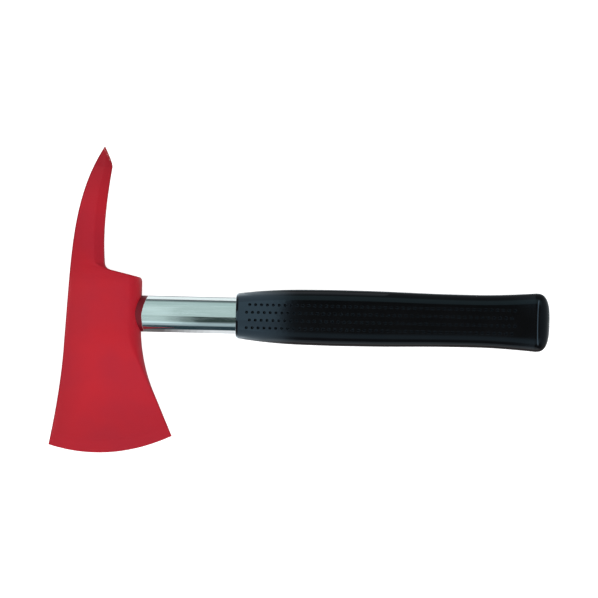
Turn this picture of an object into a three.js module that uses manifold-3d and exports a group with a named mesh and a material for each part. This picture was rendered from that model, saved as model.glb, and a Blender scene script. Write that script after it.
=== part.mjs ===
// Compact fire axe: a forged head with a pick and a flared blade, on a tubular steel handle with a
// moulded grip. Millimetres. +X runs along the handle from the head to the butt, +Y points to the
// pick and +Z is up. The axe lies on one cheek, and the origin is the centre of that cheek, straight
// under the handle's axis. Shapes are written around the axis, and the group lifts them off the floor.
import * as THREE from "three";
import { mergeVertices } from "three/addons/utils/BufferGeometryUtils.js";
import Module from "manifold-3d";

const wasm = await Module();
wasm.setup();

// ---- Driving dimensions ------------------------------------------------------------------------
const GAP = 0.3; // clearance between pieces that touch

// Head, seen from the side: x along the handle, y towards the pick
const CHEEK_HALF = 16.5; // half the thickness of the eye
const TIP = [-1.9, 116.3]; // point of the pick
const TIP_FLAT = 0.6; // width of the blunt end of the point
const NECK = [3.5, 102.0]; // rear edge where the point starts
const NECK_FRONT_Y = 102.4; // the same level on the front edge
const ROOT = [-0.5, 35.2]; // foot of the pick's rear edge
const LEDGE = [[3.6, 30.3], [23.7, 25.6]]; // shoulder between the pick and the handle
const EYE_REAR = [[26.2, 22.0], [26.1, -13.5]]; // rear face of the eye, top and foot
const FLARE = [36.0, -55.1]; // end of the curve under the eye
const HEEL = [49.3, -85.3]; // rear corner of the blade
const TOE_Y = -93.1; // height of the front corner of the blade
const EDGE_BULGE = 8.4; // rise of the curved cutting edge over its chord

// Head, front edge: a straight line that curls over at the pick and sweeps out at the toe
const FRONT_X = -26.05;
const FRONT_SLOPE = 0.0573;
const CURL = { from: 15, to: NECK_FRONT_Y, depth: 10.5, power: 3.25 };
const SWEEP = { from: -25, to: TOE_Y, depth: 5.6, power: 1.65 };

// Head, thickness
const POINT_HALF = 0.5; // half thickness at the tip
const NECK_HALF = 4.4; // half thickness where the point starts
const PICK_FROM_Y = 17; // the cheek starts to thin towards the pick here
const PICK_THINNING = 1.9;
const BLADE_FROM_Y = -14; // the cheek starts to thin towards the edge here
const BLADE_THINNING = 3;
const BEVEL_FROM_Y = -86; // start of the cutting bevel
const BEVEL_HALF = 1.7; // half thickness at the start of the cutting bevel
const EDGE_HALF = 0.35; // half thickness of the cutting edge
const BARREL_R = 20.9; // radius of the rounded rear face of the eye, seen along y
const FACET = { width: 5.3, slope: 0.62 }; // chamfer along the rear edge of the pick
const EDGE_R = 1.4; // rounding of the other edges
const REAR_MIN_HALF = 0.5; // the rear face is never sharper than this

// Handle
const TUBE_R = 12.7;
const TUBE_WALL = 1.6;
const TUBE_X = [-25.0, 298];
const TUBE_SIDES = 48;
const PLUG_R = TUBE_R - TUBE_WALL - GAP;
const EYE_PLUG_LENGTH = 46;
const WEDGE = { width: 15, length: 30, thick: 4.2, thin: 0.9 };
const END_PLUG = { length: 12, flange: 2 };

// Grip
const GRIP_X = [92.2, 312.0];
const GRIP_LIP = 2.4; // length of the rounded front lip
const GRIP_DOME = 9.8; // length of the rounded butt
// distance from the front of the grip, half width and half thickness
const GRIP_SECTIONS = [
  [2.4, 16.0, 14.1],
  [18, 17.8, 15.1],
  [33, 18.9, 15.8],
  [60, 19.55, 16.1],
  [95, 19.5, 16.0],
  [150, 18.5, 15.3],
  [178, 18.6, 15.3],
  [205, 20.1, 15.6],
  [210, 20.5, 15.7],
];
const GRIP_SQUARENESS = 2.3; // exponent of the grip's oval section
const DOME_SQUARENESS = 2.85;
const GRIP_SIDES = 32;
const BORE_END = TUBE_X[1] + END_PLUG.flange + 2 * GAP;

// ---- Geometry helpers --------------------------------------------------------------------------
const line = (a, b) => new THREE.LineCurve(new THREE.Vector2(...a), new THREE.Vector2(...b));

const bend = (a, corner, b) =>
  new THREE.QuadraticBezierCurve(
    new THREE.Vector2(...a),
    new THREE.Vector2(...corner),
    new THREE.Vector2(...b),
  );

const smooth = (t) => THREE.MathUtils.smoothstep(t, 0, 1);

// Closed skin through rings of equal length. In each ring the first half runs over the top and the
// second half comes back underneath, so both ends close with strips between the two halves.
function loft(rings) {
  const count = rings[0].length;
  const index = [];
  for (let r = 0; r < rings.length - 1; r++) {
    for (let k = 0; k < count; k++) {
      const a = r * count + k;
      const b = r * count + ((k + 1) % count);
      index.push(a, b + count, b, a, a + count, b + count);
    }
  }
  const last = (rings.length - 1) * count;
  for (let k = 0; k < count / 2 - 1; k++) {
    const near = [k, k + 1];
    const far = [count - 1 - k, count - 2 - k];
    index.push(near[0], far[1], far[0], near[0], near[1], far[1]);
    index.push(last + near[0], last + far[1], last + near[1]);
    index.push(last + near[0], last + far[0], last + far[1]);
  }
  const geometry = new THREE.BufferGeometry();
  const points = rings.flat().flatMap((p) => p.toArray());
  geometry.setAttribute("position", new THREE.Float32BufferAttribute(points, 3));
  geometry.setIndex(index);
  return geometry;
}

function toManifold(geometry) {
  const bare = geometry.clone();
  bare.deleteAttribute("normal");
  bare.deleteAttribute("uv");
  const merged = mergeVertices(bare, 1e-4);
  return new wasm.Manifold(
    new wasm.Mesh({
      numProp: 3,
      vertProperties: new Float32Array(merged.attributes.position.array),
      triVerts: new Uint32Array(merged.index.array),
    }),
  );
}

function fromManifold(solid) {
  const mesh = solid.getMesh();
  const geometry = new THREE.BufferGeometry();
  geometry.setAttribute("position", new THREE.BufferAttribute(mesh.vertProperties, 3));
  geometry.setIndex(new THREE.BufferAttribute(mesh.triVerts, 1));
  geometry.computeVertexNormals();
  return geometry;
}

// A rod along x from one end to the other
function rod(radius, from, to, sides = TUBE_SIDES) {
  const geometry = new THREE.CylinderGeometry(radius, radius, to - from, sides);
  geometry.rotateZ(Math.PI / 2);
  geometry.translate((from + to) / 2, 0, 0);
  return geometry;
}

// A closed profile of [radius, x] points, turned about the x axis
function turned(profile) {
  const points = profile.map(([radius, x]) => new THREE.Vector2(radius, x));
  const geometry = new THREE.LatheGeometry(points, TUBE_SIDES);
  geometry.rotateZ(-Math.PI / 2);
  return geometry;
}

// ---- Axe head ----------------------------------------------------------------------------------
// How far an edge has left its straight line at height y
function departure({ from, to, depth, power }, y) {
  return depth * Math.max(0, (y - from) / (to - from)) ** power;
}

function frontX(y) {
  return FRONT_X + FRONT_SLOPE * y + departure(CURL, y) - departure(SWEEP, y);
}

// Half thickness of the head at a height on its front edge
function halfThickness(y) {
  if (y > NECK_FRONT_Y) {
    const t = (y - NECK_FRONT_Y) / (TIP[1] - NECK_FRONT_Y);
    return THREE.MathUtils.lerp(NECK_HALF, POINT_HALF, t);
  }
  if (y > PICK_FROM_Y) {
    const t = (NECK_FRONT_Y - y) / (NECK_FRONT_Y - PICK_FROM_Y);
    return THREE.MathUtils.lerp(NECK_HALF, CHEEK_HALF, smooth(t) ** PICK_THINNING);
  }
  if (y > BLADE_FROM_Y) {
    return CHEEK_HALF;
  }
  if (y > BEVEL_FROM_Y) {
    const t = (BLADE_FROM_Y - y) / (BLADE_FROM_Y - BEVEL_FROM_Y);
    const hollow = (1 - t) ** BLADE_THINNING * (1 + BLADE_THINNING * t);
    return THREE.MathUtils.lerp(BEVEL_HALF, CHEEK_HALF, hollow);
  }
  const t = (BEVEL_FROM_Y - y) / (BEVEL_FROM_Y - TOE_Y);
  return THREE.MathUtils.lerp(BEVEL_HALF, EDGE_HALF, t);
}

// Bands of the head from the pick to the blade: the rear edge of each, and the height that the
// front edge reaches at the band's lower end
const BANDS = [
  { rear: bend(TIP, [3.75, 104.9], NECK), frontY: NECK_FRONT_Y, rows: 5 },
  { rear: bend(NECK, [-2.8, 62], ROOT), frontY: 38, rows: 8 },
  { rear: bend(ROOT, [-0.3, 31.2], LEDGE[0]), frontY: 33, rows: 4, facetFade: true },
  { rear: line(LEDGE[0], LEDGE[1]), frontY: 27, rows: 4, facetGone: true },
  { rear: bend(LEDGE[1], [26.2, 25.0], EYE_REAR[0]), frontY: PICK_FROM_Y, rows: 3, facetGone: true },
  { rear: line(EYE_REAR[0], EYE_REAR[1]), frontY: BLADE_FROM_Y, rows: 3, facetGone: true },
  { rear: bend(EYE_REAR[1], [27.4, -36], FLARE), frontY: -58, rows: 7, facetGone: true },
  { rear: line(FLARE, HEEL), frontY: TOE_Y, rows: 8, facetGone: true },
];

// Stations from the tip to the cutting edge: the two ends of each and how much pick chamfer it has
function headStations() {
  const stations = [];
  let frontFrom = TIP[1];
  BANDS.forEach((band, number) => {
    for (let row = number === 0 ? 0 : 1; row <= band.rows; row++) {
      const t = row / band.rows;
      const rear = band.rear.getPoint(t);
      const frontY = THREE.MathUtils.lerp(frontFrom, band.frontY, t);
      const facet = band.facetGone ? 0 : band.facetFade ? 1 - smooth(t) : 1;
      stations.push({ rear, frontY, facet });
    }
    frontFrom = band.frontY;
  });
  return stations;
}

// One closed ring around the head: over the top from the front edge to the rear edge, and back
function headRing({ rear, frontY, facet }) {
  const half = halfThickness(frontY);
  const frontLimit = rear.x - TIP_FLAT;
  const front = new THREE.Vector2(Math.min(frontX(frontY), frontLimit), frontY);
  const width = rear.x - front.x;
  const round = Math.min(EDGE_R, 0.8 * half, 0.25 * width);
  const facetWidth = Math.min(THREE.MathUtils.lerp(EDGE_R, FACET.width, facet), 0.42 * width);
  const facetSlope = Math.min(FACET.slope, (0.6 * half) / facetWidth);
  const barrelX = Math.max(rear.x, EYE_REAR[0][0]);
  const barrelWidth = BARREL_R - Math.sqrt(BARREL_R ** 2 - half ** 2);
  const bevelX = Math.min(rear.x - facetWidth, barrelX - barrelWidth);

  const top = [];
  for (let k = 0; k <= 2; k++) {
    const angle = (k / 2) * (Math.PI / 2);
    const x = front.x + round * (1 - Math.cos(angle));
    top.push([x, half - round * (1 - Math.sin(angle))]);
  }
  const flatFrom = front.x + round;
  for (let k = 1; k <= 5; k++) {
    top.push([THREE.MathUtils.lerp(flatFrom, bevelX, k / 5), half]);
  }
  for (let k = 1; k <= 5; k++) {
    const x = THREE.MathUtils.lerp(bevelX, rear.x, Math.sin((k / 5) * (Math.PI / 2)));
    const inside = BARREL_R - (barrelX - x);
    const barrel = Math.sqrt(Math.max(0, BARREL_R ** 2 - inside ** 2));
    const chamfer = facetSlope * Math.max(0, x - (rear.x - facetWidth));
    top.push([x, Math.max(Math.min(half, barrel) - chamfer, Math.min(REAR_MIN_HALF, half * 0.6))]);
  }

  const bulge = EDGE_BULGE * Math.max(0, (BLADE_FROM_Y - frontY) / (BLADE_FROM_Y - TOE_Y)) ** 2;
  const place = ([x, z]) => {
    const across = (x - front.x) / width;
    const y = THREE.MathUtils.lerp(front.y, rear.y, across) - bulge * 4 * across * (1 - across);
    return new THREE.Vector3(x, y, z);
  };
  const over = top.map(place);
  const under = over.map((p) => new THREE.Vector3(p.x, p.y, -p.z)).reverse();
  return [...over, ...under];
}

function headGeometry() {
  const forging = toManifold(loft(headStations().map(headRing)));
  const bore = toManifold(rod(TUBE_R + GAP, -60, 60));
  return fromManifold(forging.subtract(bore));
}

// ---- Handle ------------------------------------------------------------------------------------
function tubeGeometry() {
  const inner = TUBE_R - TUBE_WALL;
  const [head, butt] = TUBE_X;
  return turned([[inner, head], [TUBE_R, head], [TUBE_R, butt], [inner, butt], [inner, head]]);
}

// The steel wedge in the hardwood plug spreads the tube's end inside the eye
function wedgeGeometry(clearance) {
  const thick = WEDGE.thick / 2 + clearance;
  const thin = WEDGE.thin / 2 + clearance;
  const shape = new THREE.Shape([
    new THREE.Vector2(clearance ? -1 : 0, -thick),
    new THREE.Vector2(WEDGE.length + clearance, -thin),
    new THREE.Vector2(WEDGE.length + clearance, thin),
    new THREE.Vector2(clearance ? -1 : 0, thick),
  ]);
  const width = WEDGE.width + 2 * clearance;
  const geometry = new THREE.ExtrudeGeometry(shape, { depth: width, bevelEnabled: false });
  geometry.translate(0, 0, -width / 2);
  geometry.rotateX(Math.PI / 2);
  geometry.translate(TUBE_X[0], 0, 0);
  return geometry;
}

function eyePlugGeometry() {
  const plug = toManifold(rod(PLUG_R, TUBE_X[0], TUBE_X[0] + EYE_PLUG_LENGTH, 32));
  return fromManifold(plug.subtract(toManifold(wedgeGeometry(GAP))));
}

function endPlugGeometry() {
  const seat = TUBE_X[1] + GAP;
  return turned([
    [0, TUBE_X[1] - END_PLUG.length],
    [PLUG_R, TUBE_X[1] - END_PLUG.length],
    [PLUG_R, seat],
    [TUBE_R, seat],
    [TUBE_R, seat + END_PLUG.flange - GAP],
    [0, seat + END_PLUG.flange - GAP],
  ]);
}

// ---- Grip --------------------------------------------------------------------------------------
function ovalRing(x, halfY, halfZ, squareness) {
  const ring = [];
  for (let k = 0; k < GRIP_SIDES; k++) {
    const angle = Math.PI - ((k + 0.5) / GRIP_SIDES) * 2 * Math.PI;
    const c = Math.cos(angle);
    const s = Math.sin(angle);
    const y = halfY * Math.sign(c) * Math.abs(c) ** (2 / squareness);
    const z = halfZ * Math.sign(s) * Math.abs(s) ** (2 / squareness);
    ring.push(new THREE.Vector3(x, y, z));
  }
  return ring;
}

function gripGeometry() {
  const [start, end] = GRIP_X;
  const boreR = TUBE_R + GAP;
  const widths = new THREE.SplineCurve(GRIP_SECTIONS.map(([x, y]) => new THREE.Vector2(x, y)));
  const depths = new THREE.SplineCurve(GRIP_SECTIONS.map(([x, , z]) => new THREE.Vector2(x, z)));
  const rings = [ovalRing(BORE_END, boreR, boreR, 2), ovalRing(start, boreR, boreR, 2)];

  const [, lipY, lipZ] = GRIP_SECTIONS[0];
  for (let k = 0; k < 3; k++) {
    const angle = (k / 3) * (Math.PI / 2);
    const inset = 0.75 * GRIP_LIP * (1 - Math.sin(angle));
    const x = start + GRIP_LIP * (1 - Math.cos(angle));
    rings.push(ovalRing(x, lipY - inset, lipZ - 0.7 * inset, GRIP_SQUARENESS));
  }
  const steps = 22;
  for (let k = 0; k <= steps; k++) {
    const { x, y } = widths.getPoint(k / steps);
    rings.push(ovalRing(start + x, y, depths.getPoint(k / steps).y, GRIP_SQUARENESS));
  }
  const [domeX, domeY, domeZ] = GRIP_SECTIONS.at(-1);
  const domeSteps = 6;
  for (let k = 1; k <= domeSteps; k++) {
    const along = Math.sin((k / domeSteps) * (Math.PI / 2) * 0.96);
    const scale = (1 - along ** DOME_SQUARENESS) ** (1 / DOME_SQUARENESS);
    const x = start + domeX + along * GRIP_DOME;
    rings.push(ovalRing(Math.min(x, end), domeY * scale, domeZ * scale, GRIP_SQUARENESS));
  }
  return loft(rings);
}

// ---- Assembly ----------------------------------------------------------------------------------
const material = (color, roughness, metalness) =>
  new THREE.MeshStandardMaterial({ color, roughness, metalness, side: THREE.DoubleSide });

const redPaint = material(0xb41f30, 0.42, 0.0);
const chrome = material(0xc8cfd0, 0.12, 1.0);
const hardwood = material(0x9a7040, 0.7, 0.0);
const bareSteel = material(0x8a8d90, 0.4, 1.0);
const nylon = material(0x1c1c1c, 0.5, 0.0);
const blackVinyl = material(0x101112, 0.45, 0.0);

function piece(name, geometry, finish) {
  const mesh = new THREE.Mesh(geometry, finish);
  mesh.name = name;
  return mesh;
}

const axe = new THREE.Group();
axe.position.z = CHEEK_HALF;
axe.add(
  piece("axe_head", headGeometry(), redPaint),
  piece("handle_tube", tubeGeometry(), chrome),
  piece("eye_plug", eyePlugGeometry(), hardwood),
  piece("eye_wedge", wedgeGeometry(0), bareSteel),
  piece("tube_end_plug", endPlugGeometry(), nylon),
  piece("grip", gripGeometry(), blackVinyl),
);

const model = new THREE.Group();
model.add(axe);
export default model;
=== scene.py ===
"""Compact fire axe: fine meshes, materials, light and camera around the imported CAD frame.

Metres. +X runs along the handle to the butt, +Y points to the pick and +Z is up. The axe lies on one
cheek of its head.
"""

import math

import bpy
import numpy as np
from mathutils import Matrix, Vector


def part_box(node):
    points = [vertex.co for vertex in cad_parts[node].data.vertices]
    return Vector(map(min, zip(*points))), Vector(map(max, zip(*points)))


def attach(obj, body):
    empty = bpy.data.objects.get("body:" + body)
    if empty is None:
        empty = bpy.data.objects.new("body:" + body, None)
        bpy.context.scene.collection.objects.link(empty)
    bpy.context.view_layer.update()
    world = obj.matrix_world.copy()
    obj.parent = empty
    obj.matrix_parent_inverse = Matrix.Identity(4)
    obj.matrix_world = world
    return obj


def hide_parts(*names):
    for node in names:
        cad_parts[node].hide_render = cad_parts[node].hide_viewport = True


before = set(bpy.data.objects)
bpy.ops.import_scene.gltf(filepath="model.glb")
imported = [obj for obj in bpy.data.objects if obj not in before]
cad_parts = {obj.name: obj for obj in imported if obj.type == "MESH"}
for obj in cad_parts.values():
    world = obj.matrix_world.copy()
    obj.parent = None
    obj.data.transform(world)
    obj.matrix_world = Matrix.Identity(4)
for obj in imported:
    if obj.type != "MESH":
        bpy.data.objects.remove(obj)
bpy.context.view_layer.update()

BODY = "root"
SHARP = 35  # degrees between faces from which an edge is sharp

# ---- Sizes taken from the frame ----------------------------------------------------------------
HEAD_LOW, HEAD_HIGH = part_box("axe_head")
TUBE_LOW, TUBE_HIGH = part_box("handle_tube")
GRIP_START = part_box("grip")[0].x
PLUG_LOW, PLUG_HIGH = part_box("eye_plug")
WEDGE_LOW, WEDGE_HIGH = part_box("eye_wedge")

CHEEK_HALF = (HEAD_HIGH.z - HEAD_LOW.z) / 2
AXIS_Z = HEAD_LOW.z + CHEEK_HALF
TUBE_R = (TUBE_HIGH.z - TUBE_LOW.z) / 2
PLUG_R = (PLUG_HIGH.z - PLUG_LOW.z) / 2
CAD_GAP = 0.0003  # between touching solids of the frame
BORE_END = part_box("tube_end_plug")[1].x + CAD_GAP

# ---- Head, seen from the side: (x, y) -----------------------------------------------------------
TIP = (-0.0019, 0.1163)
TIP_FLAT = 0.0006
NECK = (0.0035, 0.1020)
NECK_FRONT_Y = 0.1024
ROOT = (-0.0005, 0.0352)
LEDGE = ((0.0036, 0.0303), (0.0237, 0.0256))
EYE_REAR = ((0.0262, 0.0220), (0.0261, -0.0135))
FLARE = (0.0360, -0.0551)
HEEL = (0.0493, -0.0853)
TOE_Y = -0.0931
EDGE_BULGE = 0.0084

# The front edge: a straight line that curls over at the pick and sweeps out at the toe
FRONT_X = -0.02605
FRONT_SLOPE = 0.0573
CURL = {"from": 0.015, "to": NECK_FRONT_Y, "depth": 0.0105, "power": 3.25}
SWEEP = {"from": -0.025, "to": TOE_Y, "depth": 0.0056, "power": 1.65}

# ---- Head, thickness ----------------------------------------------------------------------------
POINT_HALF = 0.0005
NECK_HALF = 0.0044
PICK_FROM_Y = 0.017
PICK_THINNING = 1.9
BLADE_FROM_Y = -0.014
BLADE_THINNING = 3
BEVEL_FROM_Y = -0.086
BEVEL_HALF = 0.0017
EDGE_HALF = 0.00035
BARREL_R = 0.0209  # of the eye's rounded rear, about a line along Y
FACET_WIDTH = 0.0070  # the chamfer along the pick's rear edge
FACET_SLOPE = 0.62
EDGE_R = 0.0014
REAR_MIN_HALF = 0.0003
CREASE_R = 0.0004
BARREL_CREASE_R = 0.0009
CREASE_MARGIN = 0.0014  # finely divided zone on each side of a crease
MIN_SLANT = 0.2
# Largest share of a section's half thickness, and of its width, that each feature takes
THIN = {"rounding": 0.8, "facet": 0.6, "rear": 0.6}
NARROW = {"rounding": 0.25, "facet": 0.42, "margin": 0.3, "rear": 0.3}
BEHIND_CREASE = 0.45  # largest share of the part behind the crease that the margin takes

# ---- Head, mesh ---------------------------------------------------------------------------------
CORNER_STEPS = 6
CHEEK_STEPS = 23
CREASE_STEPS = 10
BARREL_STEPS = 18
SLANT_REACH = 0.02  # share of a band over which its rear edge's direction is taken
HEAD_SHARP = 28

# ---- Tube, plug and wedge -----------------------------------------------------------------------
TUBE_WALL = 0.0016
TUBE_CHAMFER = 0.0004
TUBE_SIDES = 160
ROD_ROUNDING = 0.0006
PLUG_SIDES = 96
ROUNDING_STEPS = 4
SLOT_GAP = 0.0001
WEDGE_THIN_HALF = 0.00045
WEDGE_BEVEL = 0.00025
BEVEL_STEPS = 3

# ---- Grip: distance from its front, half width, half thickness ----------------------------------
GRIP_SECTIONS = (
    (0.0024, 0.0160, 0.0141),
    (0.018, 0.0178, 0.0151),
    (0.033, 0.0189, 0.0158),
    (0.060, 0.01955, 0.0161),
    (0.095, 0.0195, 0.0160),
    (0.150, 0.0185, 0.0153),
    (0.178, 0.0186, 0.0153),
    (0.205, 0.0201, 0.0156),
    (0.210, 0.0205, 0.0157),
)
GRIP_SQUARENESS = 2.3
GRIP_BORE_R = TUBE_R + 0.00002
BORE_MOUTH = ((0.0006, 0.0), (0.0002, 0.0001), (0.0, 0.0004))  # distance from the front, flare
LIP_INSET = 0.0022
LIP_THINNING = 0.6  # inset of the lip across the thickness, as a share of LIP_INSET
LIP_STEPS = 8
GRIP_DOME = 0.0098
DOME_SQUARENESS = 2.85
DOME_DEPTH_SQUARENESS = 2.1
DOME_STEPS = 22
DOME_COVER = 0.985  # share of the quarter turn before the small flat at the butt's centre

# ---- Grip, dimples ------------------------------------------------------------------------------
DIMPLE_PITCH = 0.00412
DIMPLE_ROW = 0.0054
DIMPLE_ROWS = 4
DIMPLE_FIRST = 0.0076
DIMPLE_COUNT = 46
DIMPLE_R = 0.00092
DIMPLE_DEPTH = 0.0014
# From the rim to the bottom: share of the radius, share of the depth
DIMPLE_PROFILE = (
    (1.25, 0.0), (1.1, 0.0), (1.0, 0.06), (0.95, 0.3), (0.85, 0.6), (0.6, 0.86), (0.3, 0.97),
)

# ---- Grip, mesh: each ring has two flats of dimple cells and two sides --------------------------
CELL_STEPS = 4
SIDE_STEPS = 14
LEAD_STEPS = 3
TAIL_STEPS = 15
FLAT_HALF = DIMPLE_ROWS * DIMPLE_ROW / 2
FLAT_STEPS = DIMPLE_ROWS * CELL_STEPS
RING_STEPS = 2 * (FLAT_STEPS + SIDE_STEPS)
SLOPE_REACH = (1e-4, 0.05)  # along the grip, and in steps round the ring
GRIP_SHARP = 60

# ---- Colours and finishes -----------------------------------------------------------------------
RED = (0.465, 0.009, 0.020)
RED_DEEP = (0.41, 0.010, 0.024)
# Painted shade: the tube's band of paint is darkened where the head shades it
RED_BAND_PAINTED_SHADE = (0.14, 0.004, 0.011)
# Painted shade: the enamel's red darkened towards the front edge, the point and the cutting edge
RED_PAINTED_SHADE = (0.29, 0.008, 0.018)
# Painted highlight: a pale colour on the pick's tip
TIP_PAINTED_HIGHLIGHT = (0.62, 0.28, 0.26)
CHROME = (0.82, 0.86, 0.86)
VINYL = (0.004, 0.004, 0.004)
VINYL_TONES = ((0.0026, 0.0024, 0.0027), (0.0044, 0.0041, 0.0045))
# Painted light: a bluish tint on the vinyl's reflections stands in for cool studio light
VINYL_SHEEN_LIGHT_TINT = (0.55, 0.8, 1.0, 1)
WOOD = ((0.33, 0.17, 0.07), (0.20, 0.09, 0.035))
STEEL = ((0.25, 0.26, 0.27), (0.16, 0.16, 0.17))
NYLON = (0.012, 0.012, 0.012)
ALONG_X = (0.1, 1, 1)

# Where shade is painted into the enamel: it darkens towards the front edge, the point and the cutting
# edge
SHADED_FRONT = (-0.034, -0.004)
SHADED_TIP = (0.06, 0.112)
SHADED_EDGE = (-0.092, -0.045)
# Where a pale highlight is painted on the pick's tip: past the neck, behind a slanting line
TIP_HIGHLIGHT_FROM = (NECK[1] + 0.002, NECK[1] + 0.005)
TIP_HIGHLIGHT_SLANT = 0.53
TIP_HIGHLIGHT_BEHIND = (0.0574, 0.0582)
# The painted band of the tube follows the rear rim of the eye, at a slant and with a ragged edge
BAND_ROUNDNESS = 0.63
BAND_SLANT = 0.095
BAND_EDGE = (0.0126, 0.0130)
BAND_RAGGEDNESS = 0.0012
# Where the paint ends on the plug and the wedge
PAINTED_END = (TUBE_LOW.x + 0.002, TUBE_LOW.x + 0.004)

# ---- Floor, camera and key light ----------------------------------------------------------------
FLOOR_SIZE = 60.0
FLOOR_DROP = 0.0002
FLOOR_GLOW = 0.75
SCREEN_TILT = math.radians(1.34)  # turn of the camera about its own line of sight
VIEW_DISTANCE = 5.0
VIEW_SHIFT = (0.00002, 0.00038)  # from the middle of the axe to the middle of the picture
VIEW_SHARE = 0.8382  # share of the picture's width that the axe takes
SENSOR_WIDTH = 36
CLIP = (0.01, 200)
KEY_PLACE = (0.2, -1.3, 1.6)
KEY_SIZE = 1.4
KEY_POWER = 8.0

# ---- World: what matt surfaces and gloss see in each direction ----------------------------------
SOFT_SIDE = (0.88, 0.47)  # shares of +Z and of -Y in the direction of the soft light
SOFT_SPAN = (-0.7, 1.0)
SOFT_LIGHT = (0.36, 1.22)
END_SPAN = (0.5, 0.85)
END_WALLS = (0.22, 0.25, 0.27)
FRONT_FROM = (-0.13, -0.018)
FRONT_TO = (-0.50, -0.32)
FRONT_LIGHT = (1.6, 1.85, 2.0)
STRIP_FROM = (0.20, 0.24)
STRIP_TO = (0.34, 0.42)
STRIP_LIGHT = (3.0, 3.2, 3.4)
OVERHEAD_SPAN = (0.0, 0.3)
# Turn in degrees from straight up, towards +Y, and the light there
PANELS = (
    (-180, (0.45, 0.48, 0.5)),
    (-158, (0.15, 0.13, 0.13)),
    (-120, (0.15, 0.13, 0.13)),
    (-108, (0.015, 0.035, 0.045)),
    (-80, (0.015, 0.035, 0.045)),
    (-70, (0.34, 0.44, 0.47)),
    (-56, (0.34, 0.44, 0.47)),
    (-44, (0.03, 0.05, 0.045)),
    (59, (0.03, 0.05, 0.045)),
    (61, (0.42, 0.56, 0.55)),
    (83, (0.42, 0.56, 0.55)),
    (93, (0.12, 0.16, 0.16)),
    (100, (0.12, 0.16, 0.16)),
    (106, (0.12, 0.13, 0.14)),
    (146, (0.12, 0.13, 0.14)),
    (158, (0.3, 0.34, 0.36)),
    (180, (0.3, 0.34, 0.36)),
)

# ---- Level light panels that only gloss sees. Those over the axe face down, those on the floor up.
HIGH = 0.3
LOW = 0.001
COOL = (0.78, 1.0, 0.98)
PALE = (0.85, 1.0, 1.0)
NEAR_REACHES = (0.038, 0.047, 0.058)  # stepped, so that the light fades along the tube
LOW_REACHES = np.linspace(0.042, 0.074, 8)
# Name, low corner, high corner, height, colour, radiance. Panels that overlap differ in height,
# because one ray only adds up panels that it meets one after the other.
CARDS = (
    ("tube_card", (0.0, -0.055), (0.10, 0.49), HIGH, COOL, 0.54),
    *((f"near_card_{k}", (-0.01, -0.45), (reach, -0.057), HIGH + 0.001 * k, COOL, 0.175)
      for k, reach in enumerate(NEAR_REACHES)),
    ("eye_card", (-0.01, -0.055), (0.042, 0.30), HIGH + 0.003, PALE, 0.1),
    ("lip_card", (-0.80, -0.09), (-0.10, 0.09), HIGH, PALE, 4.0),
    ("floor_card", (0.028, 0.0232), (0.096, 0.075), LOW, (0.92, 1.0, 1.0), 0.85),
    *((f"low_card_{k}", (reach, -0.067), (0.096, -0.0175), LOW + 0.0002 * k, (0.92, 0.96, 1.0),
       0.75 / len(LOW_REACHES)) for k, reach in enumerate(LOW_REACHES)),
    ("grip_low_card", (0.11, -0.20), (0.32, -0.05), LOW, (1.0, 1.0, 1.0), 0.45),
    ("grip_high_card", (0.10, 0.05), (0.20, 0.15), LOW, (1.0, 1.0, 1.0), 0.3),
)


# ---- Mesh helpers -------------------------------------------------------------------------------
def smooth_shading(mesh, sharp_degrees):
    mesh.shade_smooth()
    mesh.set_sharp_from_angle(angle=math.radians(sharp_degrees))


def mesh_object(name, points, faces, sharp_degrees=SHARP):
    mesh = bpy.data.meshes.new(name)
    mesh.from_pydata([tuple(p) for p in points], [], faces)
    mesh.validate()
    smooth_shading(mesh, sharp_degrees)
    obj = bpy.data.objects.new(name, mesh)
    bpy.context.scene.collection.objects.link(obj)
    return obj


def ring_faces(rings, count, left_handed=False, holes=()):
    """Quads that face out between closed rings, less those at the (ring, step) pairs in holes.

    Right-handed rings turn like a screw that moves from the first ring to the last.
    """
    faces = []
    for r in range(rings - 1):
        for k in range(count):
            if (r, k) in holes:
                continue
            a = r * count + k
            b = r * count + (k + 1) % count
            faces.append((a, a + count, b + count, b) if left_handed else (a, b, b + count, a + count))
    return faces


def end_faces(rings, count):
    """The faces that close right-handed rings at both ends."""
    last = (rings - 1) * count
    return [tuple(reversed(range(count))), tuple(range(last, last + count))]


def turned(profile, sides):
    """Points of right-handed rings about the handle's axis, through (radius, x) points."""
    points = []
    for radius, x in profile:
        for k in range(sides):
            angle = 2 * math.pi * k / sides
            points.append((x, radius * math.cos(angle), AXIS_Z + radius * math.sin(angle)))
    return points


def rod(radius, start, end, rounding, sides):
    """Points and faces of a rod along x with rounded ends."""
    profile = []
    for k in range(ROUNDING_STEPS + 1):
        angle = k / ROUNDING_STEPS * math.pi / 2
        r = radius - rounding * (1 - math.sin(angle))
        profile.append((r, start + rounding * (1 - math.cos(angle))))
    profile += [(r, start + end - x) for r, x in reversed(profile)]
    faces = ring_faces(len(profile), sides) + end_faces(len(profile), sides)
    return turned(profile, sides), faces


def cut(obj, cutter):
    """Takes the cutter's volume out of the object and removes the cutter."""
    modifier = obj.modifiers.new("cut", "BOOLEAN")
    modifier.operation = "DIFFERENCE"
    modifier.solver = "EXACT"
    modifier.object = cutter
    graph = bpy.context.evaluated_depsgraph_get()
    mesh = bpy.data.meshes.new_from_object(obj.evaluated_get(graph))
    obj.modifiers.clear()
    old = obj.data
    obj.data = mesh
    mesh.name = old.name
    bpy.data.meshes.remove(old)
    bpy.data.objects.remove(cutter)
    smooth_shading(mesh, SHARP)


def finish_piece(obj, slot, material, *nodes):
    obj.data.materials.clear()
    obj.data.materials.append(material)
    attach(obj, BODY)
    if nodes:
        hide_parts(*nodes)


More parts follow.
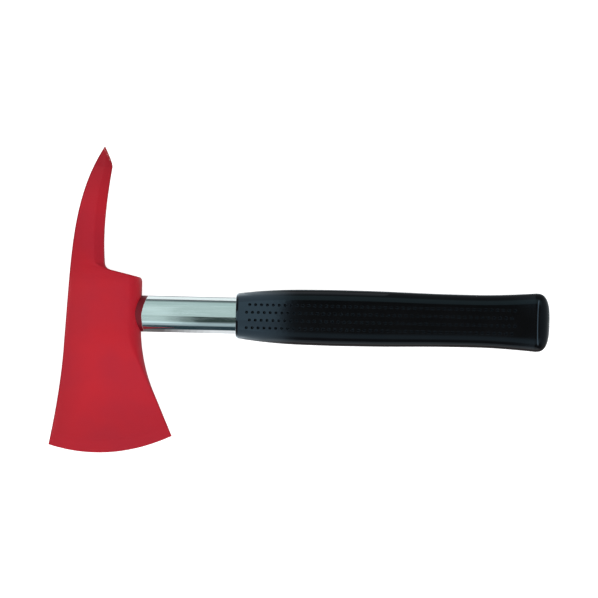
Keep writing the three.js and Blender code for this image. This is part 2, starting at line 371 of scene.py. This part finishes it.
# ---- Curves -------------------------------------------------------------------------------------
def line(a, b):
    a, b = np.array(a), np.array(b)
    return lambda t: a + (b - a) * t


def bend(a, corner, b):
    a, corner, b = np.array(a), np.array(corner), np.array(b)
    return lambda t: a * (1 - t) ** 2 + corner * 2 * t * (1 - t) + b * t ** 2


def smooth(t):
    t = min(1.0, max(0.0, t))
    return t * t * (3 - 2 * t)


def mix(a, b, t):
    return a + (b - a) * t


def soft_min(a, b, radius):
    """The smaller of two values, with the corner between them rounded."""
    gap = np.abs(a - b) / radius
    return np.minimum(a, b) - radius * np.log1p(np.exp(-gap))


def soft_ramp(d, radius):
    """Zero below zero and d above it, with the corner rounded."""
    return np.maximum(d, 0) + radius * np.log1p(np.exp(-np.abs(d) / radius))


# ---- Head ---------------------------------------------------------------------------------------
# Bands from the pick to the blade: rear edge, front height at the lower end, rows, pick chamfer at
# the upper and the lower end
BANDS = (
    (bend(TIP, (0.00375, 0.1049), NECK), NECK_FRONT_Y, 22, 1, 1),
    (bend(NECK, (-0.0028, 0.062), ROOT), 0.038, 60, 1, 1),
    (bend(ROOT, (-0.0003, 0.0312), LEDGE[0]), 0.033, 18, 1, 0),
    (line(LEDGE[0], LEDGE[1]), 0.027, 22, 0, 0),
    (bend(LEDGE[1], (0.0262, 0.0250), EYE_REAR[0]), PICK_FROM_Y, 14, 0, 0),
    (line(EYE_REAR[0], EYE_REAR[1]), BLADE_FROM_Y, 24, 0, 0),
    (bend(EYE_REAR[1], (0.0274, -0.036), FLARE), -0.058, 40, 0, 0),
    (line(FLARE, HEEL), TOE_Y, 50, 0, 0),
)


def departure(curve, y):
    """How far an edge has left its straight line at height y."""
    t = (y - curve["from"]) / (curve["to"] - curve["from"])
    return curve["depth"] * max(0.0, t) ** curve["power"]


def front_x(y):
    return FRONT_X + FRONT_SLOPE * y + departure(CURL, y) - departure(SWEEP, y)


def half_thickness(y):
    """Half thickness of the head at a height on its front edge."""
    if y > NECK_FRONT_Y:
        return mix(NECK_HALF, POINT_HALF, (y - NECK_FRONT_Y) / (TIP[1] - NECK_FRONT_Y))
    if y > PICK_FROM_Y:
        t = (NECK_FRONT_Y - y) / (NECK_FRONT_Y - PICK_FROM_Y)
        return mix(NECK_HALF, CHEEK_HALF, smooth(t) ** PICK_THINNING)
    if y > BLADE_FROM_Y:
        return CHEEK_HALF
    if y > BEVEL_FROM_Y:
        t = (BLADE_FROM_Y - y) / (BLADE_FROM_Y - BEVEL_FROM_Y)
        hollow = (1 - t) ** BLADE_THINNING * (1 + BLADE_THINNING * t)
        return mix(BEVEL_HALF, CHEEK_HALF, hollow)
    return mix(BEVEL_HALF, EDGE_HALF, (BEVEL_FROM_Y - y) / (BEVEL_FROM_Y - TOE_Y))


def head_stations():
    """(rear point, front height, chamfer share, slant of the rear edge) from the tip to the edge."""
    stations = []
    front_from = TIP[1]
    for number, (rear, front_y, rows, facet_from, facet_to) in enumerate(BANDS):
        for row in range(0 if number == 0 else 1, rows + 1):
            t = row / rows
            y = mix(front_from, front_y, t)
            point = rear(t)
            along = rear(min(1, t + SLANT_REACH)) - rear(max(0, t - SLANT_REACH))
            along /= np.linalg.norm(along)
            across = point - np.array((front_x(y), y))
            across /= np.linalg.norm(across) + 1e-9
            slant = abs(along[0] * across[1] - along[1] * across[0])
            stations.append([point, y, mix(facet_from, facet_to, smooth(t)), slant])
        front_from = front_y
    return stations


def head_ring(rear, front_y, facet, slant):
    """A closed ring round the head: over the top from the front edge to the rear edge, and back."""
    half = half_thickness(front_y)
    front = min(front_x(front_y), rear[0] - TIP_FLAT)
    width = rear[0] - front
    rounding = min(EDGE_R, THIN["rounding"] * half, NARROW["rounding"] * width)
    facet_width = min(mix(EDGE_R, FACET_WIDTH, facet), NARROW["facet"] * width)
    facet_slope = min(FACET_SLOPE, THIN["facet"] * half / facet_width) * facet
    barrel_x = max(rear[0], EYE_REAR[0][0])
    barrel_width = BARREL_R - math.sqrt(BARREL_R ** 2 - half ** 2)
    crease = min(rear[0] - facet_width, barrel_x - barrel_width)
    margin = min(CREASE_MARGIN, BEHIND_CREASE * (rear[0] - crease), NARROW["margin"] * width)
    rear_rounding = min(rounding / max(slant, MIN_SLANT), NARROW["rear"] * width)

    corner = [k / CORNER_STEPS * math.pi / 2 for k in range(CORNER_STEPS + 1)]
    fillet_x = [front + rounding * (1 - math.cos(a)) for a in corner]
    fillet_z = [half - rounding * (1 - math.sin(a)) for a in corner]
    flat = np.linspace(front + rounding, crease - margin, CHEEK_STEPS + 1)[1:]
    turn = np.linspace(crease - margin, crease + margin, CREASE_STEPS + 1)[1:]
    sweep = np.sin(np.linspace(0, math.pi / 2, BARREL_STEPS + 1))[1:]
    rest = crease + margin + (rear[0] - crease - margin) * sweep
    x = np.concatenate((flat, turn, rest))

    inside = np.maximum(0, BARREL_R - (barrel_x - x))
    barrel = np.sqrt(BARREL_R ** 2 - np.minimum(inside, BARREL_R) ** 2)
    z = soft_min(np.full_like(x, half), barrel, BARREL_CREASE_R)
    z = z - facet_slope * soft_ramp(x - (rear[0] - facet_width), CREASE_R)
    past = np.clip((x - (rear[0] - rear_rounding)) / rear_rounding, 0, 1)
    z = z - rounding * (1 - np.sqrt(1 - past ** 2))
    z = np.maximum(z, min(REAR_MIN_HALF, THIN["rear"] * half))

    x = np.concatenate((fillet_x, x))
    z = np.concatenate((fillet_z, z))
    across = (x - front) / width
    fall = max(0.0, (BLADE_FROM_Y - front_y) / (BLADE_FROM_Y - TOE_Y)) ** 2
    y = mix(front_y, rear[1], across) - EDGE_BULGE * fall * 4 * across * (1 - across)
    over = np.stack((x, y, AXIS_Z + z), axis=1)
    under = np.stack((x, y, AXIS_Z - z), axis=1)[::-1]
    return np.concatenate((over, under))


def make_head(material):
    """The forging without its bore: it covers the ends of the tube, the plug and the wedge."""
    rings = [head_ring(*station) for station in head_stations()]
    count = len(rings[0])
    faces = ring_faces(len(rings), count, left_handed=True)
    last = (len(rings) - 1) * count
    for k in range(count // 2 - 1):
        a, b = count - 1 - k, count - 2 - k
        faces.append((k, k + 1, b, a))
        faces.append((last + k, last + a, last + b, last + k + 1))
    head = mesh_object("head_forging", np.concatenate(rings), faces, HEAD_SHARP)
    finish_piece(head, "red_paint", material, "axe_head")


# ---- Handle -------------------------------------------------------------------------------------
def make_tube(material):
    inner = TUBE_R - TUBE_WALL
    start, end = TUBE_LOW.x, TUBE_HIGH.x
    profile = [
        (inner, start),
        (TUBE_R - TUBE_CHAMFER, start),
        (TUBE_R, start + TUBE_CHAMFER),
        (TUBE_R, end - TUBE_CHAMFER),
        (TUBE_R - TUBE_CHAMFER, end),
        (inner, end),
        (inner, start),
    ]
    points = turned(profile[:-1], TUBE_SIDES)
    faces = ring_faces(len(profile), TUBE_SIDES)
    faces = [tuple(corner % len(points) for corner in face) for face in faces]
    tube = mesh_object("tube_chromed", points, faces)
    finish_piece(tube, "chrome_plate", material, "handle_tube")


def wedge_body(name, grow):
    """The tapered wedge in the eye, larger all round by grow."""
    x0, x1 = WEDGE_LOW.x - grow, WEDGE_HIGH.x + grow
    half_y = (WEDGE_HIGH.y - WEDGE_LOW.y) / 2 + grow
    thick = (WEDGE_HIGH.z - WEDGE_LOW.z) / 2 + grow
    points = []
    for x, half_z in ((x0, thick), (x1, WEDGE_THIN_HALF + grow)):
        for y, z in ((-half_y, -half_z), (half_y, -half_z), (half_y, half_z), (-half_y, half_z)):
            points.append((x, y, AXIS_Z + z))
    return mesh_object(name, points, end_faces(2, 4) + ring_faces(2, 4))


def make_eye_fillers(wood, steel):
    body = rod(PLUG_R, PLUG_LOW.x, PLUG_HIGH.x, ROD_ROUNDING, PLUG_SIDES)
    plug = mesh_object("plug_hardwood", *body)
    cut(plug, wedge_body("slot", SLOT_GAP))
    finish_piece(plug, "hardwood", wood, "eye_plug")
    wedge = wedge_body("wedge_steel", 0)
    bevel = wedge.modifiers.new("edges", "BEVEL")
    bevel.width = WEDGE_BEVEL
    bevel.segments = BEVEL_STEPS
    finish_piece(wedge, "wedge_steel", steel, "eye_wedge")


# ---- Grip ---------------------------------------------------------------------------------------
def through_knots(knots, x):
    """A smooth curve through (x, value) knots: cubic pieces with slopes from the neighbours."""
    xs = [k[0] for k in knots]
    ys = [k[1] for k in knots]
    slopes = list(np.gradient(ys, xs))
    i = int(np.clip(np.searchsorted(xs, x) - 1, 0, len(xs) - 2))
    h = xs[i + 1] - xs[i]
    t = (x - xs[i]) / h
    return (
        ys[i] * (1 + 2 * t) * (1 - t) ** 2
        + slopes[i] * h * t * (1 - t) ** 2
        + ys[i + 1] * t ** 2 * (3 - 2 * t)
        + slopes[i + 1] * h * t ** 2 * (t - 1)
    )


def grip_halves(t):
    half_y = through_knots([(x, y) for x, y, _ in GRIP_SECTIONS], t)
    half_z = through_knots([(x, z) for x, _, z in GRIP_SECTIONS], t)
    return half_y, half_z


def oval_point(half_y, half_z, squareness, flat_half, u):
    """A point of the grip's section, u steps round from the upper flat's +Y end."""
    u %= RING_STEPS
    under = u >= RING_STEPS / 2
    v = u - RING_STEPS / 2 if under else u
    if v <= FLAT_STEPS:
        y = flat_half * (1 - 2 * v / FLAT_STEPS)
        z = half_z * (1 - abs(y / half_y) ** squareness) ** (1 / squareness)
    else:
        edge = math.acos((flat_half / half_y) ** (squareness / 2))
        angle = mix(math.pi - edge, math.pi + edge, (v - FLAT_STEPS) / SIDE_STEPS)
        c, s = math.cos(angle), math.sin(angle)
        y = half_y * math.copysign(abs(c) ** (2 / squareness), c)
        z = half_z * math.copysign(abs(s) ** (2 / squareness), s)
    return (-y, -z) if under else (y, z)


def oval_ring(x, half_y, half_z, squareness, flat_half):
    ring = []
    for u in range(RING_STEPS):
        y, z = oval_point(half_y, half_z, squareness, flat_half, u)
        ring.append((x, y, AXIS_Z + z))
    return ring


def body_point(t, u):
    half_y, half_z = grip_halves(t)
    y, z = oval_point(half_y, half_z, GRIP_SQUARENESS, FLAT_HALF, u)
    return Vector((GRIP_START + t, y, AXIS_Z + z))


def body_normal(t, u):
    dt, du = SLOPE_REACH
    along = body_point(t + dt, u) - body_point(t - dt, u)
    around = body_point(t, u + du) - body_point(t, u - du)
    return around.cross(along).normalized()


def grip_front_rings():
    """Bore, front face and rounded lip, up to the first full section."""
    lip_t, lip_y, lip_z = GRIP_SECTIONS[0]
    rings = [oval_ring(BORE_END, GRIP_BORE_R, GRIP_BORE_R, 2, FLAT_HALF)]
    for t, flare in BORE_MOUTH:
        radius = GRIP_BORE_R + flare
        rings.append(oval_ring(GRIP_START + t, radius, radius, 2, FLAT_HALF))
    for k in range(LIP_STEPS):
        angle = k / LIP_STEPS * math.pi / 2
        inset = (1 - math.sin(angle)) * LIP_INSET
        x = GRIP_START + lip_t * (1 - math.cos(angle))
        half_z = lip_z - LIP_THINNING * inset
        rings.append(oval_ring(x, lip_y - inset, half_z, GRIP_SQUARENESS, FLAT_HALF))
    return rings


def grip_butt_rings():
    """The rounded butt, from just past the last full section to almost its centre."""
    last_t, half_y, half_z = GRIP_SECTIONS[-1]
    rings = []
    for k in range(1, DOME_STEPS + 1):
        along = math.sin(k / DOME_STEPS * math.pi / 2 * DOME_COVER)
        scale = (1 - along ** DOME_SQUARENESS) ** (1 / DOME_SQUARENESS)
        x = GRIP_START + last_t + along * GRIP_DOME
        depth = half_z * (1 - along ** DOME_DEPTH_SQUARENESS) ** (1 / DOME_DEPTH_SQUARENESS)
        rings.append(oval_ring(x, half_y * scale, depth, GRIP_SQUARENESS, FLAT_HALF * scale))
    return rings


def dimple_cells(first_column):
    """(column, step round the ring) of each dimple's corner, in rows staggered by half a pitch."""
    cells = []
    for side in (0, RING_STEPS // 2):
        for row in range(DIMPLE_ROWS):
            stagger = CELL_STEPS // 2 if row % 2 == 0 else 0
            for number in range(DIMPLE_COUNT):
                column = first_column + number * CELL_STEPS + stagger
                cells.append((column, side + row * CELL_STEPS))
    return cells


def cell_rim():
    """Grid offsets round a dimple's cell, in order, starting at the middle of its far side."""
    n = CELL_STEPS
    rim = [(n, k) for k in range(n // 2, n)]
    rim += [(k, n) for k in range(n, 0, -1)]
    rim += [(0, k) for k in range(n, 0, -1)]
    rim += [(k, 0) for k in range(0, n)]
    rim += [(n, k) for k in range(0, n // 2)]
    return rim


def add_dimple(points, faces, loop, centre_t, centre_u):
    """Fills the cell whose rim is the loop of point numbers with a round dimple."""
    sides = len(loop)
    for share, depth in DIMPLE_PROFILE:
        ring = list(range(len(points), len(points) + sides))
        for k in range(sides):
            angle = 2 * math.pi * k / sides
            t = centre_t + DIMPLE_R * share * math.cos(angle)
            u = centre_u + DIMPLE_R * share * math.sin(angle) / (DIMPLE_ROW / CELL_STEPS)
            points.append(tuple(body_point(t, u) - body_normal(t, u) * DIMPLE_DEPTH * depth))
        for k in range(sides):
            n = (k + 1) % sides
            faces.append((loop[k], ring[k], ring[n], loop[n]))
        loop = ring
    bottom = body_point(centre_t, centre_u) - body_normal(centre_t, centre_u) * DIMPLE_DEPTH
    points.append(tuple(bottom))
    for k in range(sides):
        faces.append((loop[(k + 1) % sides], loop[k], len(points) - 1))


def make_grip(material):
    front = grip_front_rings()
    step = DIMPLE_PITCH / CELL_STEPS
    grid_from = DIMPLE_FIRST - DIMPLE_PITCH / 2
    grid_columns = DIMPLE_COUNT * CELL_STEPS + CELL_STEPS // 2
    grid_to = grid_from + grid_columns * step
    lead = np.linspace(GRIP_SECTIONS[0][0], grid_from, LEAD_STEPS + 1)[:-1]
    grid = grid_from + step * np.arange(grid_columns + 1)
    tail = np.linspace(grid_to, GRIP_SECTIONS[-1][0], TAIL_STEPS + 1)[1:]
    stations = np.concatenate((lead, grid, tail))
    body = [oval_ring(GRIP_START + t, *grip_halves(t), GRIP_SQUARENESS, FLAT_HALF) for t in stations]
    rings = front + body + grip_butt_rings()
    points = [p for ring in rings for p in ring]

    cells = dimple_cells(len(front) + len(lead))
    offsets = [(i, j) for i in range(CELL_STEPS) for j in range(CELL_STEPS)]
    covered = {(column + i, u + j) for column, u in cells for i, j in offsets}
    faces = ring_faces(len(rings), RING_STEPS, holes=covered) + end_faces(len(rings), RING_STEPS)
    rim = cell_rim()
    for column, u in cells:
        loop = [(column + i) * RING_STEPS + (u + j) % RING_STEPS for i, j in rim]
        centre_t = stations[column - len(front)] + DIMPLE_PITCH / 2
        add_dimple(points, faces, loop, centre_t, u + CELL_STEPS / 2)
    grip = mesh_object("grip_moulding", points, faces, GRIP_SHARP)
    finish_piece(grip, "black_vinyl", material, "grip")


# ---- Material nodes -----------------------------------------------------------------------------
class Graph:
    """Short ways to add nodes to a node tree."""

    def __init__(self, tree):
        self.nodes = tree.nodes
        self.links = tree.links

    def put(self, value, socket):
        if isinstance(value, bpy.types.NodeSocket):
            self.links.new(value, socket)
        else:
            socket.default_value = value

    def math(self, operation, a, b=0.0):
        node = self.nodes.new("ShaderNodeMath")
        node.operation = operation
        self.put(a, node.inputs[0])
        self.put(b, node.inputs[1])
        return node.outputs[0]

    def spread(self, value, low, high, to_low=0.0, to_high=1.0):
        """A smooth step from one value to another."""
        node = self.nodes.new("ShaderNodeMapRange")
        node.interpolation_type = "SMOOTHSTEP"
        self.put(value, node.inputs["Value"])
        node.inputs["From Min"].default_value = low
        node.inputs["From Max"].default_value = high
        node.inputs["To Min"].default_value = to_low
        node.inputs["To Max"].default_value = to_high
        return node.outputs["Result"]

    def blend(self, share, a, b):
        node = self.nodes.new("ShaderNodeMix")
        node.data_type = "RGBA"
        self.put(share, node.inputs["Factor"])
        self.put(a if isinstance(a, bpy.types.NodeSocket) else (*a, 1), node.inputs["A"])
        self.put(b if isinstance(b, bpy.types.NodeSocket) else (*b, 1), node.inputs["B"])
        return node.outputs["Result"]

    def split(self, vector):
        node = self.nodes.new("ShaderNodeSeparateXYZ")
        self.links.new(vector, node.inputs[0])
        return node.outputs["X"], node.outputs["Y"], node.outputs["Z"]

    def ramp(self, value, stops):
        """Colours at angles from -180 to 180 degrees, with value running from 0 to 1."""
        node = self.nodes.new("ShaderNodeValToRGB")
        self.links.new(value, node.inputs["Fac"])
        elements = node.color_ramp.elements
        while len(elements) < len(stops):
            elements.new(0.5)
        for element, (degrees, colour) in zip(elements, stops):
            element.position = degrees / 360 + 0.5
            element.color = (*colour, 1)
        return node.outputs["Color"]


class Shader(Graph):
    """A Principled material to which nodes are added."""

    def __init__(self, name, colour, roughness, metallic=0.0):
        self.material = bpy.data.materials.new(name)
        self.material.use_nodes = True
        super().__init__(self.material.node_tree)
        self.surface = self.nodes["Principled BSDF"]
        self.surface.inputs["Base Color"].default_value = (*colour, 1)
        self.surface.inputs["Roughness"].default_value = roughness
        self.surface.inputs["Metallic"].default_value = metallic
        self.place = self.nodes.new("ShaderNodeTexCoord").outputs["Object"]

    def noise(self, scale, detail=2.0, roughness=0.5, stretch=(1, 1, 1)):
        mapping = self.nodes.new("ShaderNodeMapping")
        mapping.inputs["Scale"].default_value = stretch
        self.links.new(self.place, mapping.inputs["Vector"])
        node = self.nodes.new("ShaderNodeTexNoise")
        node.inputs["Scale"].default_value = scale
        node.inputs["Detail"].default_value = detail
        node.inputs["Roughness"].default_value = roughness
        self.links.new(mapping.outputs["Vector"], node.inputs["Vector"])
        return node.outputs["Fac"]

    def bump(self, height, distance):
        node = self.nodes.new("ShaderNodeBump")
        node.inputs["Strength"].default_value = 1.0
        node.inputs["Distance"].default_value = distance
        self.put(height, node.inputs["Height"])
        self.links.new(node.outputs["Normal"], self.surface.inputs["Normal"])

    def set(self, name, value):
        self.put(value, self.surface.inputs[name])


def paint_material():
    s = Shader("red_enamel", RED, roughness=0.42)
    broad = s.noise(scale=28.0, detail=3.0)
    peel = s.noise(scale=620.0)
    x, y, _ = s.split(s.place)
    colour = s.blend(s.spread(broad, 0.35, 0.7), RED, RED_DEEP)
    # A pale highlight painted on the rear side of the pick's tip, broken up by noise
    near_tip = s.spread(y, *TIP_HIGHLIGHT_FROM)
    rear_side = s.spread(s.math("ADD", x, s.math("MULTIPLY", y, TIP_HIGHLIGHT_SLANT)), *TIP_HIGHLIGHT_BEHIND)
    highlight_breakup = s.spread(s.noise(scale=1500.0, detail=3.0, roughness=0.6), 0.50, 0.62)
    painted_highlight = s.math("MULTIPLY", s.math("MULTIPLY", near_tip, rear_side), highlight_breakup)
    # Painted shade: the enamel darkens towards the front edge, the point and the cutting edge
    toward_front = s.spread(x, *SHADED_FRONT, to_low=0.5, to_high=0.0)
    toward_tip = s.spread(y, *SHADED_TIP, to_low=0.0, to_high=0.8)
    toward_edge = s.spread(y, *SHADED_EDGE, to_low=0.35, to_high=0.0)
    painted_shade = s.math("MAXIMUM", toward_front, s.math("MAXIMUM", toward_tip, toward_edge))
    colour = s.blend(painted_shade, colour, RED_PAINTED_SHADE)
    s.set("Base Color", s.blend(painted_highlight, colour, TIP_PAINTED_HIGHLIGHT))
    s.set("Roughness", s.spread(broad, 0.2, 0.8, to_low=0.36, to_high=0.46))
    s.set("Specular IOR Level", 0.14)
    waves = s.math("MULTIPLY", broad, 3.0)
    s.bump(s.math("ADD", peel, waves), distance=0.00006)
    return s.material


def chrome_material():
    """Chrome, with a band of paint where the tube leaves the eye, darkened as painted shade."""
    s = Shader("chrome", CHROME, roughness=0.08, metallic=1.0)
    x, y, z = s.split(s.place)
    off_axis = s.math("SUBTRACT", z, AXIS_Z)
    square = s.math("MULTIPLY", off_axis, off_axis)
    root = s.math("SQRT", s.math("SUBTRACT", BARREL_R ** 2, square))
    rim = s.math("ADD", root, EYE_REAR[0][0] - BARREL_R)
    noise = s.math("SUBTRACT", s.noise(scale=260.0, detail=3.0), 0.5)
    ragged = s.math("MULTIPLY", noise, BAND_RAGGEDNESS)
    past = s.math("SUBTRACT", s.math("ADD", x, ragged), s.math("MULTIPLY", rim, BAND_ROUNDNESS))
    past = s.math("SUBTRACT", past, s.math("MULTIPLY", y, BAND_SLANT))
    painted = s.spread(past, *BAND_EDGE, to_low=1.0, to_high=0.0)
    drawn = s.noise(scale=900.0, stretch=(0.05, 1, 1))
    # The band of paint is given a darker red as painted shade
    s.set("Base Color", s.blend(painted, CHROME, RED_BAND_PAINTED_SHADE))
    s.set("Metallic", s.math("SUBTRACT", 1.0, painted))
    s.set("Specular IOR Level", 0.15)
    bare = s.spread(drawn, 0.3, 0.7, to_low=0.05, to_high=0.10)
    s.set("Roughness", s.math("ADD", bare, s.math("MULTIPLY", painted, 0.3)))
    s.bump(drawn, distance=0.000004)
    return s.material


def vinyl_material():
    s = Shader("black_vinyl", VINYL, roughness=0.24)
    s.set("Specular IOR Level", 0.3)
    # The sheen is tinted blue as painted cool light
    s.set("Specular Tint", VINYL_SHEEN_LIGHT_TINT)
    grain = s.noise(scale=2400.0)
    broad = s.noise(scale=60.0)
    s.set("Base Color", s.blend(broad, *VINYL_TONES))
    s.set("Roughness", s.spread(broad, 0.3, 0.7, to_low=0.06, to_high=0.09))
    s.bump(grain, distance=0.000005)
    return s.material


def filler_material(name, tones, roughness, grain_scale):
    """Wood or steel inside the eye, painted over at its outer end."""
    s = Shader(name, tones[0], roughness)
    x = s.split(s.place)[0]
    painted = s.spread(x, *PAINTED_END, to_low=1.0, to_high=0.0)
    grain = s.noise(scale=grain_scale, detail=3.0, stretch=ALONG_X)
    s.set("Base Color", s.blend(painted, s.blend(grain, *tones), RED_DEEP))
    s.bump(grain, distance=0.00003)
    return s.material


def nylon_material():
    s = Shader("black_nylon", NYLON, roughness=0.5)
    grain = s.noise(scale=1800.0)
    s.set("Roughness", s.spread(grain, 0.3, 0.7, to_low=0.45, to_high=0.55))
    s.bump(grain, distance=0.00002)
    return s.material


# ---- Stage --------------------------------------------------------------------------------------
def make_floor():
    """A pale floor that is lit to white and that neither tints nor lights the axe."""
    s = Shader("floor_paper", (0.8, 0.8, 0.8), roughness=0.9)
    s.set("Specular IOR Level", 0.0)
    s.set("Emission Color", (1, 1, 1, 1))
    s.set("Emission Strength", FLOOR_GLOW)
    h = FLOOR_SIZE / 2
    points = [(-h, -h, 0), (h, -h, 0), (h, h, 0), (-h, h, 0)]
    floor = mesh_object("floor", points, [(0, 1, 2, 3)])
    floor.location.z = -FLOOR_DROP
    floor.data.materials.append(s.material)
    floor.visible_glossy = False
    floor.visible_diffuse = False


def make_world():
    """A soft studio: even light for matt surfaces, panels for gloss to mirror, white behind."""
    world = bpy.data.worlds.new("studio")
    bpy.context.scene.world = world
    world.use_nodes = True
    s = Graph(world.node_tree)
    direction = s.nodes.new("ShaderNodeTexCoord").outputs["Generated"]
    x, y, z = s.split(direction)

    up, side = SOFT_SIDE
    toward_key = s.math("SUBTRACT", s.math("MULTIPLY", z, up), s.math("MULTIPLY", y, side))
    soft = s.spread(toward_key, *SOFT_SPAN, *SOFT_LIGHT)

    # 0 and 1 straight down, 0.25 at the -Y horizon, 0.5 straight up, 0.75 at the +Y horizon
    turn = s.math("ADD", s.math("DIVIDE", s.math("ARCTAN2", y, z), 2 * math.pi), 0.5)
    panels = s.ramp(turn, PANELS)
    ends = s.spread(s.math("ABSOLUTE", x), *END_SPAN)
    front = s.math("MULTIPLY", s.spread(x, *FRONT_FROM, 1.0, 0.0), s.spread(x, *FRONT_TO))
    walled = s.blend(front, s.blend(ends, panels, END_WALLS), FRONT_LIGHT)
    strip = s.math("MULTIPLY", s.spread(x, *STRIP_FROM), s.spread(x, *STRIP_TO, 1.0, 0.0))
    overhead = s.spread(z, *OVERHEAD_SPAN)
    gloss = s.blend(s.math("MULTIPLY", strip, overhead), walled, STRIP_LIGHT)

    ray = s.nodes.new("ShaderNodeLightPath")
    lit = s.blend(ray.outputs["Is Glossy Ray"], s.blend(soft, (0, 0, 0), (1, 1, 1)), gloss)
    seen = s.blend(ray.outputs["Is Camera Ray"], lit, (1, 1, 1))
    s.links.new(seen, s.nodes["Background"].inputs["Color"])


def area_light(name, width, depth, power):
    data = bpy.data.lights.new(name, "AREA")
    data.shape = "RECTANGLE"
    data.size, data.size_y = width, depth
    data.energy = power
    light = bpy.data.objects.new(name, data)
    bpy.context.scene.collection.objects.link(light)
    light.visible_camera = False
    return light


def make_key():
    light = area_light("key", KEY_SIZE, KEY_SIZE, KEY_POWER)
    light.location = KEY_PLACE
    light.rotation_euler = (-Vector(KEY_PLACE)).to_track_quat("-Z", "Y").to_euler()
    light.visible_glossy = False


def make_card(name, low, high, height, colour, radiance):
    """A level light panel that only gloss sees, from one corner to the other."""
    width, depth = high[0] - low[0], high[1] - low[1]
    light = area_light(name, width, depth, radiance * math.pi * width * depth)
    light.data.color = colour
    light.location = ((low[0] + high[0]) / 2, (low[1] + high[1]) / 2, height)
    light.rotation_euler.x = math.pi if height < AXIS_Z else 0
    light.visible_diffuse = False


def make_camera():
    """Looks straight down, with the axe in the middle of the picture."""
    right = Vector((math.cos(SCREEN_TILT), math.sin(SCREEN_TILT), 0))
    up = Vector((-right.y, right.x, 0))
    corners = [v.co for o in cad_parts.values() for v in o.data.vertices]
    across = [p.dot(right) for p in corners]
    along = [p.dot(up) for p in corners]
    middle_across = (min(across) + max(across)) / 2 + VIEW_SHIFT[0]
    middle_along = (min(along) + max(along)) / 2 + VIEW_SHIFT[1]
    aim = right * middle_across + up * middle_along
    data = bpy.data.cameras.new("camera")
    camera = bpy.data.objects.new("camera", data)
    bpy.context.scene.collection.objects.link(camera)
    camera.location = (aim.x, aim.y, AXIS_Z + VIEW_DISTANCE)
    camera.rotation_euler = (0, 0, SCREEN_TILT)
    picture_width = (max(across) - min(across)) / VIEW_SHARE
    data.sensor_width = SENSOR_WIDTH
    data.lens = data.sensor_width * VIEW_DISTANCE / picture_width
    data.clip_start, data.clip_end = CLIP
    bpy.context.scene.camera = camera


# ---- Build --------------------------------------------------------------------------------------
make_camera()
make_head(paint_material())
make_tube(chrome_material())
make_eye_fillers(
    filler_material("hardwood", WOOD, 0.6, 420.0),
    filler_material("wedge_steel", STEEL, 0.4, 800.0),
)
make_grip(vinyl_material())
end_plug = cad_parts["tube_end_plug"]
end_plug.data.materials.clear()
end_plug.data.materials.append(nylon_material())

make_floor()
make_world()
make_key()
for row in CARDS:
    make_card(*row)
bpy.context.scene.view_settings.view_transform = "Standard"
